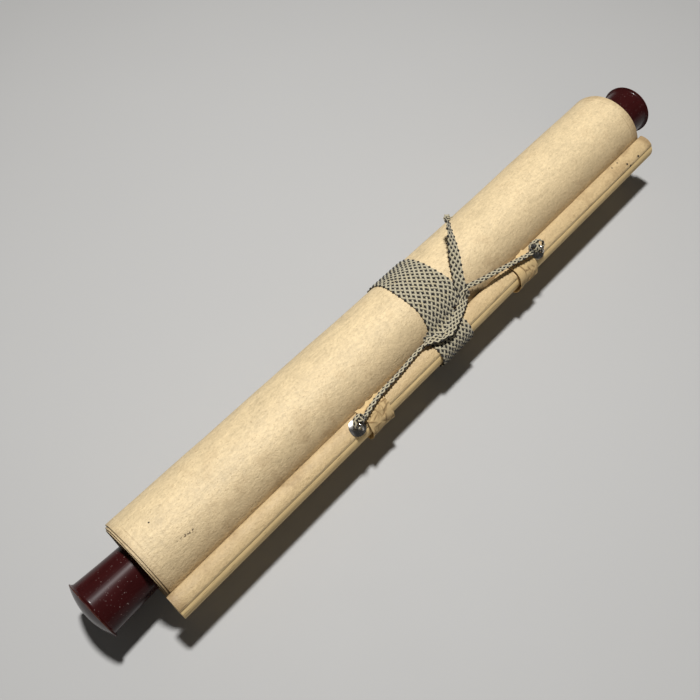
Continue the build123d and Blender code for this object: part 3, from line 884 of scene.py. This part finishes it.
class SCROLL_OT_sheet(bpy.types.Operator):
    """Roll the paper sheet round its rod and wrap its end over the stave"""

    bl_idname = "scroll.sheet"
    bl_label = "Paper sheet"

    # How far the turns' edges stand out at each end, in millimetres, by turns from the outside
    left_turns = [-1, -0.9, 0.2, 0.93, 1.04, 1.95, 2.1, 3, 5, 8]
    left_edges = [1.4, -1.5, -1.5, -1.5, -0.2, -0.4, 0.3, 0.2, -0.2, -1]
    right_turns = [-1, -0.9, 0.2, 0.9, 1.3, 2, 3, 5, 8, 13]
    right_edges = [1.1, 0, 0, 0.1, -0.8, -0.5, 0.4, -0.5, -1, 0]
    edge_reach = 9 * MM
    # Turns to go until the sheet leaves the roll, at the start of each of its last three arcs there
    last_turns = (0.92, 0.42, 0.15)

    def execute(self, context):
        paper = context.scene.scroll_paper
        profile = Profile(paper)
        outer, turn = self.section(profile, profile.half)
        inner, turn = self.section(profile, -profile.half)
        low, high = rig.box("scroll_sheet")
        middle = np.linspace(low.x + EDGE_INSETS[-1], high.x - EDGE_INSETS[-1], 29)[1:-1]
        columns = np.concatenate([low.x + EDGE_INSETS, middle, high.x - EDGE_INSETS[::-1]])
        faces = [self.grid(profile, paper.hem, side, turn, columns, out) for side, out in ((outer, 1), (inner, 0))]
        mesh = closed_mesh("paper_sheet", *two_sided(*faces))
        piece = new_piece("paper_sheet", mesh, paper_finish(paper))
        self.mark_wrap(mesh, profile)
        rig.ride(piece, "root")
        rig.replaces(piece, "scroll_sheet")
        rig.slot(piece, "mounting_paper")
        length = along((outer + inner) / 2)[-1]
        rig.sheet(piece, flat=(high.x - low.x, length), held="folded", rests_on=["roller_rod", "top_stave"])
        return {"FINISHED"}

    def section(self, profile, offset):
        """One face of the sheet from the rod outwards, and its points' turns from the outside, -1 on the stave."""
        parts = []
        turns = []

        def arc(centre, radius, start, end, count, first_turn, skip=1):
            angles = np.linspace(start, end, count)[skip:]
            parts.append(polar(centre, radius, angles))
            turns.append(first_turn - np.abs(angles - start) / 360)

        over, down, below = self.last_turns
        for number in range(profile.turns):
            radius = profile.first + number * profile.pitch + offset
            count = 16 if number < profile.turns - 1 else 41
            left = profile.turns - number + over
            arc(profile.upper, radius, 180, 0, count, left, 0 if number == 0 else 1)
            arc(profile.lower, radius + profile.pitch / 2, 0, -180, count, left - 0.5)
        arc(profile.upper, profile.last_upper + offset, 180, 0, 61, over)
        leaving = profile.last_lower + offset
        flat = degrees(acos(1 - FLAT_DEPTH / leaving))
        arc(profile.lower, leaving, 0, flat - 90, 28, down)
        arc(profile.lower, leaving, -90 - flat, profile.leave, 18, below, 0)
        arc(profile.bend, BEND_RADIUS + offset, profile.leave + 360, OUT_ANGLE, 7, 0, 0)
        fold = STAVE_EDGE_ROUND + GLUE_FIT + profile.half - offset
        arc(profile.fold, fold, UP_ANGLE - 90, UP_ANGLE, FOLD_POINTS, 0, 0)
        pared = WRAP_PARED * np.clip(np.linspace(-6, 1, WRAP_POINTS), 0, 1) * (offset < 0)
        wrap = profile.paper_radius - profile.half - offset - pared
        arc(profile.stave, wrap, UP_ANGLE, UP_ANGLE + WRAP_SWEEP, WRAP_POINTS, 0, 0)
        turn = np.concatenate(turns)
        turn[-FOLD_POINTS - WRAP_POINTS :] = -1
        return np.concatenate(parts), turn

    def grid(self, profile, hem, side, turn, columns, out):
        """Points of one face: the turns' edges stand unevenly, and the outer turn is a little wavy."""
        left = np.interp(turn, self.left_turns, self.left_edges)
        right = np.interp(turn, self.right_turns, self.right_edges)
        roll = turn > -0.5
        frill = np.where(roll, 0.06 * np.sin(turn * 23) + 0.05 * np.sin(turn * 41 + 1.3), 0)
        flare = np.where(roll, 0.4 * np.exp(-(((turn - 0.5) / 0.05) ** 2)), 0)
        near_left = np.exp(-(columns - columns[0]) / self.edge_reach)
        near_right = np.exp(-(columns[-1] - columns) / self.edge_reach)
        x = columns - (left + frill + flare)[:, None] * near_left * MM
        x = x + (right + frill)[:, None] * near_right * MM
        outward = unit(side - np.where(side[:, 1:] > profile.axis, [profile.upper], [profile.lower]))
        loose = np.where(roll, 1 - np.clip((turn - 0.85) / 0.2, 0, 1), 0)
        loose = loose * np.clip((turn - 0.05) / 0.12, 0, 1)
        hem = (np.abs(columns) > columns[-1] - hem) * 0.06 * out
        lift = loose[:, None] * (self.waves(columns, turn[:, None] * 2 * pi) + hem) * MM
        section = side[:, None] + lift[..., None] * outward[:, None]
        return drawn_in(np.concatenate([x[..., None], section], axis=-1), profile)

    @staticmethod
    def waves(x, angle):
        total = 0.09 * np.sin(x * 62 + 2 * angle) + 0.06 * np.sin(x * 141 - 3 * angle + 0.7)
        return total + 0.035 * np.sin(x * 290 + 5 * angle + 2.1) + 0.05 * np.cos(4 * angle + x * 17)

    @staticmethod
    def mark_wrap(mesh, profile):
        """Marks the stave's own paper, which is the sheet's other face, and the painted shade in its crease and the
        painted shadow line along its seam.
        """
        spots = np.array([vertex.co for vertex in mesh.vertices])

        def apart(place):
            return np.linalg.norm(spots[:, 1:] - place, axis=1)

        wrap = apart(profile.stave) < profile.paper_radius + 0.3 * MM
        # Painted shade: the paper darkens and browns toward the crease between roll and stave
        crease = np.clip(1 - apart(profile.fold) / CREASE_SHADE_REACH, 0, 1)
        # Painted shadow: a dark line along the seam, under the edge of the wrap, heavier towards the right end
        end = polar(profile.stave, profile.paper_radius, UP_ANGLE + WRAP_SWEEP)
        seam_darkness = np.interp(spots[:, 0], [-0.05, 0.09, 0.12], [0.7, 0.9, 2])
        seam = seam_darkness * np.clip(1.3 - apart(end) / SEAM_SHADOW_REACH, 0, 1)
        for name, values in (("wrap", wrap), ("painted_shade", np.maximum(crease, seam))):
            mesh.attributes.new(name, "FLOAT", "POINT").data.foreach_set("value", values.astype(np.float32))


class SCROLL_OT_wood(bpy.types.Operator):
    """Finish the rod and the stave as bare wood"""

    bl_idname = "scroll.wood"
    bl_label = "Rod and stave"

    def execute(self, context):
        hard = context.scene.scroll_hard
        paint(["roller_rod"], wood_finish("rod_wood", hard))
        paint(["top_stave"], wood_finish("stave_wood", hard))
        return {"FINISHED"}


class SCROLL_OT_knobs(bpy.types.Operator):
    """Lacquer the rod's end knobs"""

    bl_idname = "scroll.knobs"
    bl_label = "Knobs"

    def execute(self, context):
        paint(["roller_knob_left", "roller_knob_right"], lacquer_finish(context.scene.scroll_hard))
        return {"FINISHED"}


class SCROLL_OT_eyelets(bpy.types.Operator):
    """Polish the eyes and the discs under them"""

    bl_idname = "scroll.eyelets"
    bl_label = "Eyelets"

    def execute(self, context):
        names = [f"eyelet_{part}_{side}" for part in ("disc", "pin") for side in ("left", "right")]
        paint(names, metal_finish(context.scene.scroll_hard))
        return {"FINISHED"}


class SCROLL_OT_collars(bpy.types.Operator):
    """Fold the creased paper collars round the stave"""

    bl_idname = "scroll.collars"
    bl_label = "Collars"

    # Degrees from the start over which the ragged end evens out, and over which the folds get free of the stave
    even_after = 44
    free_after = 50

    def execute(self, context):
        paper = context.scene.scroll_paper
        finish = collar_finish(paper)
        profile = Profile(paper)
        for side, seed, slack in (("left", 3, 0.45 * MM), ("right", 8, 0.15 * MM)):
            centre = polar(profile.stave, slack, 200)
            self.collar(f"paper_collar_{side}", finish, seed, centre, profile.paper_radius + COLLAR_AIR)
        return {"FINISHED"}

    def collar(self, node, finish, seed, centre, middle):
        low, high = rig.box(node)
        random = np.random.default_rng(seed)
        turn = np.linspace(COLLAR_START, COLLAR_END, 150)
        across = np.linspace(0, 1, 56)
        angle, share = np.meshgrid(turn, across, indexing="ij")
        ends = np.interp(across, np.linspace(0, 1, 9), random.uniform(0, 18, 9))
        angle = angle + ends * np.clip((COLLAR_START + self.even_after - angle) / self.even_after, 0, 1)
        around = np.radians(angle - COLLAR_START) * middle / MM
        crumple, crease = self.crumple(share * COLLAR_WIDTH, around, random)
        free = np.clip((angle - COLLAR_START) / self.free_after, 0, 1)
        flare = 0.7 * np.exp(-share / 0.1) + 0.4 * np.exp(-(1 - share) / 0.08)
        radius = middle + (crumple * (0.25 + 0.75 * free) + flare * free) * MM
        ragged = np.interp(turn, np.linspace(COLLAR_START, COLLAR_END, 21), random.uniform(-0.7, 0.7, 21))
        width = (high.x - low.x) + ragged[:, None] * (share - 0.5) * MM
        x = (low.x + high.x) / 2 + (share - 0.5) * width + 0.35 * MM * np.sin(angle * 0.05 + seed)
        faces = []
        for offset in (COLLAR_HALF, -COLLAR_HALF):
            section = polar(centre, radius + offset, angle)
            faces.append(np.concatenate([x[..., None], section], axis=-1))
        mesh = closed_mesh(node + "_paper", *two_sided(*faces))
        worn = np.tile(crease.ravel(), 2).astype(np.float32)
        mesh.attributes.new("crease", "FLOAT", "POINT").data.foreach_set("value", worn)
        piece = new_piece(node + "_paper", mesh, finish)
        length = radians(COLLAR_END - COLLAR_START) * middle
        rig.ride(piece, "root")
        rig.replaces(piece, node)
        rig.slot(piece, "collar_paper")
        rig.sheet(piece, flat=(high.x - low.x, length), held="folded", rests_on=["top_stave"])

    @staticmethod
    def crumple(across, around, random):
        """Height of the folds in crumpled paper, in millimetres, and how near each point lies to a fold."""
        height = np.zeros_like(across)
        crease = np.zeros_like(across)
        for _ in range(38):
            start = (random.uniform(0, COLLAR_WIDTH), random.uniform(4, 36))
            lean = random.uniform(0, pi)
            reach = random.uniform(2, 6)
            run = (across - start[0]) * cos(lean) + (around - start[1]) * sin(lean)
            gap = (around - start[1]) * cos(lean) - (across - start[0]) * sin(lean)
            gap = gap + random.uniform(0.1, 0.5) * np.sin(run * random.uniform(0.5, 1.1))
            fade = np.clip(1.5 * (1 - np.abs(run) / reach), 0, 1)
            tall = random.choice([-1, 1]) * random.uniform(0.15, 0.5)
            height += tall * fade * np.exp(-np.abs(gap) / random.uniform(0.7, 1.8))
            crease = np.maximum(crease, fade * np.exp(-((gap / 0.42) ** 2)) * random.uniform(0.2, 0.8))
        return np.clip(height, -0.4, 0.9), crease


class SCROLL_OT_hanging_cord(bpy.types.Operator):
    """Braid the hanging cord from eye to eye and knot it at both"""

    bl_idname = "scroll.hanging_cord"
    bl_label = "Hanging cord"

    def execute(self, context):
        cord = context.scene.scroll_cord
        line, ways = routed(HANGING_ROUTE)
        piece = braid("hanging_cord_braid", line, ways, hanging_size(cord), cord)
        knots = [self.knot(side, sign, cord) for side, sign in (("left", -1), ("right", 1))]
        for part in (piece, *knots):
            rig.ride(part, "root")
            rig.slot(part, "braid")
        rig.replaces(piece, "hanging_cord")
        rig.cord(
            piece, exit=line[0], length=along(line)[-1], diameter=cord.hanging_width, far_end="object",
            stiffness="limp", lay="taut", path=line, with_pieces=knots,
        )
        return {"FINISHED"}

    @staticmethod
    def knot(side, sign, cord):
        """Loop through an eye and round the cord, as a braid of its own."""
        eye = np.array([sign * EYE_X, *EYE]) / MM
        mirror = np.array([-sign, 1, 1])
        line = smooth_route([eye + KNOT_SIZES[side] * mirror * point for point in KNOT_ROUTE])
        heart = (eye + mirror * KNOT_HEART) * MM
        return braid(f"hanging_knot_{side}", line, square_to(line, line - heart), hanging_size(cord), cord)


class SCROLL_OT_tie_turns(bpy.types.Operator):
    """Wind the tie cord round roll and stave"""

    bl_idname = "scroll.tie_turns"
    bl_label = "Tie cord, wound"

    turns = 4
    step = 6.35 * MM  # from turn to turn
    spacing = 0.8 * MM  # of the line's points
    passes = 14  # to smooth a turn

    def execute(self, context):
        cord = context.scene.scroll_cord
        profile = Profile(context.scene.scroll_paper)
        ring, outward = self.ring(profile, GLUE_FIT + cord.thickness / 2)
        share = along(ring)
        share /= share[-1]
        lines = [np.column_stack([self.drift(share, number) * MM, ring])[:-1] for number in range(self.turns)]
        line = drawn_in(np.concatenate(lines), profile)
        ways = np.tile(np.column_stack([np.zeros(len(ring)), outward])[:-1], (self.turns, 1))
        length = along(line)[-1] / self.turns
        row = length / (2 * round(length / (2 * cord.row)))
        size = {**tie_size(cord, 1), "Width": self.step + cord.yarn, "Row": row}
        piece = braid("tie_cord_braid", line, square_to(line, ways), size, cord)
        for vertex in piece.data.vertices:
            vertex.co.z = max(vertex.co.z, 0)
        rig.ride(piece, "root")
        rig.replaces(piece, "tie_cord_turns")
        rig.slot(piece, "braid")
        return {"FINISHED"}

    def drift(self, share, number):
        """Place along the roll of one turn, which slants over the roll and steps back over the stave."""
        keys = [0, 0.05, 0.08, 0.115, 0.17, 0.225, 0.26, 0.32, 0.61, 0.85, 0.93, 0.97, 1]
        first = [14.2, 16.4, 16.2, 14.6, 13.9, 14, 14, 13.5, 9.8, 8.2, 7.7, 7.6, 7.5]
        step = [6.7, 7, 6.9, 6.6, 6.4, 5.95, 5.75, 5.7, 6.1, 6, 5.9, 6.2, 6.7]
        places = [a - b * number for a, b in zip(first, step)]
        fine = np.interp(share, keys, places)
        for _ in range(self.passes):
            fine[1:-1] = (fine[:-2] + 2 * fine[1:-1] + fine[2:]) / 4
        return fine

    def ring(self, profile, offset):
        """Closed line round roll and stave at a distance from the paper, from the crease over the roll."""
        upper = profile.last_upper + profile.half + offset
        lower = upper + profile.pitch / 2
        stave = profile.paper_radius + offset
        rise = profile.under(profile.lower, lower, profile.stave, stave)
        reach = (stave + VALLEY_RADIUS - offset, upper + VALLEY_RADIUS - offset)
        across = profile.upper[0] - profile.stave[0]
        fall = profile.upper[1] - profile.stave[1]
        apart = hypot(across, fall)
        corner = acos((reach[0] ** 2 + apart**2 - reach[1] ** 2) / (2 * reach[0] * apart))
        stave_end = degrees(atan2(fall, across) + corner)
        valley = polar(profile.stave, reach[0], stave_end)
        roll_start = degrees(atan2(valley[1] - profile.upper[1], valley[0] - profile.upper[0]))
        level = profile.last_lower + profile.half - FLAT_DEPTH + offset
        flat = degrees(acos(level / lower))
        arcs = [
            (profile.upper, upper, roll_start, 0, 1),
            (profile.lower, lower, 0, flat - 90, 1),
            (profile.lower, lower, -90 - flat, rise, 1),
            (profile.stave, stave, rise + 360, stave_end, 1),
            (valley, VALLEY_RADIUS - offset, stave_end + 180, roll_start + 180, -1),
        ]
        points = []
        outward = []
        for centre, radius, start, end, sign in arcs:
            count = max(4, int(radians(abs(end - start)) * radius / self.spacing))
            angles = np.linspace(start, end, count)
            points.append(polar(centre, radius, angles))
            outward.append(sign * polar((0, 0), 1, angles))
        points = np.concatenate(points)
        keep = np.concatenate([[True], np.linalg.norm(np.diff(points, axis=0), axis=1) > 1e-6])
        return points[keep], np.concatenate(outward)[keep]


class SCROLL_OT_tie_tail(bpy.types.Operator):
    """Stand up the tie cord's loose end with its frayed knot"""

    bl_idname = "scroll.tie_tail"
    bl_label = "Tie cord, loose end"

    def execute(self, context):
        cord = context.scene.scroll_cord
        line, ways = routed(TAIL_ROUTE)
        piece = braid("tie_tail_braid", line, ways, tie_size(cord, 1), cord)
        knot = self.frayed_knot(line, cord)
        crossing = braid("tie_cord_crossing", *routed(CROSSING_ROUTE), tie_size(cord, CROSSING_SIZE), cord)
        for part in (piece, knot, crossing):
            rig.ride(part, "root")
            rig.slot(part, "braid")
        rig.replaces(piece, "tie_cord_tail")
        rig.cord(
            piece, exit=line[0], length=along(line)[-1], diameter=cord.tie_width, far_end="knot",
            stiffness="medium", lay="loose", path=line, with_pieces=[knot, crossing],
        )
        return {"FINISHED"}

    @staticmethod
    def frayed_knot(line, cord):
        """Yarn wound round the tip and fibres that stick out of it."""
        random = np.random.default_rng(5)
        heading = Vector(line[-1] - line[-6]).normalized()
        across = heading.orthogonal().normalized()
        other = heading.cross(across)
        tip = Vector(line[-1])
        lines = []
        for wind in range(3):
            ring = []
            for step in range(25):
                angle = 2 * pi * step / 24
                out = (1.35 + 0.25 * sin(2 * angle + wind)) * MM
                lift = (wind - 1) * 0.75 * MM + 0.3 * MM * sin(angle + wind)
                ring.append(tip + heading * lift + (across * cos(angle) + other * sin(angle)) * out)
            lines.append(np.array(ring))
        for _ in range(26):
            angle = random.uniform(0, 2 * pi)
            side = across * cos(angle) + other * sin(angle)
            aim = heading * random.uniform(0.2, 1) + side * random.uniform(0.3, 1)
            curl = Vector(random.uniform(-1, 1, 3)) * 0.6 * MM
            start = tip + aim * 0.7 * MM
            reach = random.uniform(1.2, 2.4) * MM
            lines.append(np.array([start + aim * reach * s + curl * s * s for s in np.linspace(0, 1, 6)]))
        return tubes("tie_tail_knot", lines, 0.34 * MM, 6, yarn_finish("light_yarn", cord.light_colour, 0.3))


class SCROLL_OT_stage(bpy.types.Operator):
    """Lay a plain floor and set the lights and the camera"""

    bl_idname = "scroll.stage"
    bl_label = "Stage"

    def execute(self, context):
        stage = context.scene.scroll_stage
        self.floor(stage)
        self.light("key", KEY_PLACE, KEY_SIZE, stage.key_power)
        self.light("fill", FILL_PLACE, FILL_SIZE, stage.fill_power)
        world = bpy.data.worlds.new("studio")
        world.use_nodes = True
        sky = world.node_tree.nodes["Background"].inputs
        sky["Color"].default_value = SKY_COLOUR
        sky["Strength"].default_value = SKY_STRENGTH
        context.scene.world = world
        context.scene.view_settings.view_transform = "Standard"
        self.camera(context.scene)
        return {"FINISHED"}

    @staticmethod
    def floor(stage):
        mesh = bpy.data.meshes.new("floor")
        corners = [(x * FLOOR_HALF, y * FLOOR_HALF, 0) for x, y in ((-1, -1), (1, -1), (1, 1), (-1, 1))]
        mesh.from_pydata(corners, [], [(0, 1, 2, 3)])
        ink = Finish("floor", specular_ior_level=0.3)
        tone = ink.shade(stage.floor_colour, 0.97 + 0.06 * ink.noise(0.4))
        ink.set(base_color=tone, roughness=0.6 + 0.1 * ink.noise(0.05))
        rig.stage(new_piece("floor", mesh, ink.material))

    @staticmethod
    def light(name, place, size, power):
        lamp = bpy.data.lights.new(name, "AREA")
        lamp.shape = "DISK"
        lamp.size = size
        lamp.energy = power
        holder = placed(name, lamp)
        holder.location = place
        holder.rotation_euler = (-Vector(place)).to_track_quat("-Z", "Y").to_euler()

    @staticmethod
    def camera(scene):
        lens = bpy.data.cameras.new("camera")
        lens.sensor_width = 36
        lens.lens = 41.52
        lens.clip_start = 0.01
        right = Vector((0.67897, -0.733812, -0.022821))
        up = Vector((0.6286, 0.565, 0.534451))
        back = Vector((-0.379292, -0.377221, 0.844891))
        turned = Matrix((right, up, back)).transposed().to_4x4()
        scene.camera = placed("camera", lens)
        scene.camera.matrix_world = Matrix.Translation((-0.208698, -0.159376, 0.401732)) @ turned


PIECES = (
    SCROLL_OT_sheet, SCROLL_OT_wood, SCROLL_OT_knobs, SCROLL_OT_eyelets, SCROLL_OT_collars,
    SCROLL_OT_hanging_cord, SCROLL_OT_tie_turns, SCROLL_OT_tie_tail, SCROLL_OT_stage,
)
SETTINGS = {
    "scroll_paper": PaperSettings, "scroll_cord": CordSettings,
    "scroll_hard": HardSettings, "scroll_stage": StageSettings,
}


class SCROLL_PT_panel(bpy.types.Panel):
    """Sizes, colours and pieces of the scroll"""

    bl_label = "Hanging scroll"
    bl_idname = "SCROLL_PT_panel"
    bl_space_type = "VIEW_3D"
    bl_region_type = "UI"
    bl_category = "Scroll"

    def draw(self, context):
        for name, group in SETTINGS.items():
            box = self.layout.box()
            box.label(text=group.__doc__)
            for key in group.__annotations__:
                box.prop(getattr(context.scene, name), key)
        for piece in PIECES:
            self.layout.operator(piece.bl_idname)


def register():
    for group in SETTINGS.values():
        bpy.utils.register_class(group)
    for name, group in SETTINGS.items():
        setattr(bpy.types.Scene, name, bpy.props.PointerProperty(type=group))
    for piece in (*PIECES, SCROLL_PT_panel):
        bpy.utils.register_class(piece)


def unregister():
    for piece in reversed((*PIECES, SCROLL_PT_panel)):
        bpy.utils.unregister_class(piece)
    for name, group in SETTINGS.items():
        delattr(bpy.types.Scene, name)
        bpy.utils.unregister_class(group)


def main():
    register()
    bpy.ops.scroll.stage()
    bpy.ops.scroll.hanging_cord()
    bpy.ops.scroll.tie_tail()
    bpy.ops.scroll.tie_turns()
    bpy.ops.scroll.sheet()
    bpy.ops.scroll.wood()
    bpy.ops.scroll.knobs()
    bpy.ops.scroll.eyelets()
    bpy.ops.scroll.collars()
    boxes = {"cad": CAD_BOX, "visual": [list(corner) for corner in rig.bounds()]}
    with open("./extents.json", "w") as file:
        json.dump(boxes, file)


if __name__ == "__main__":
    main()
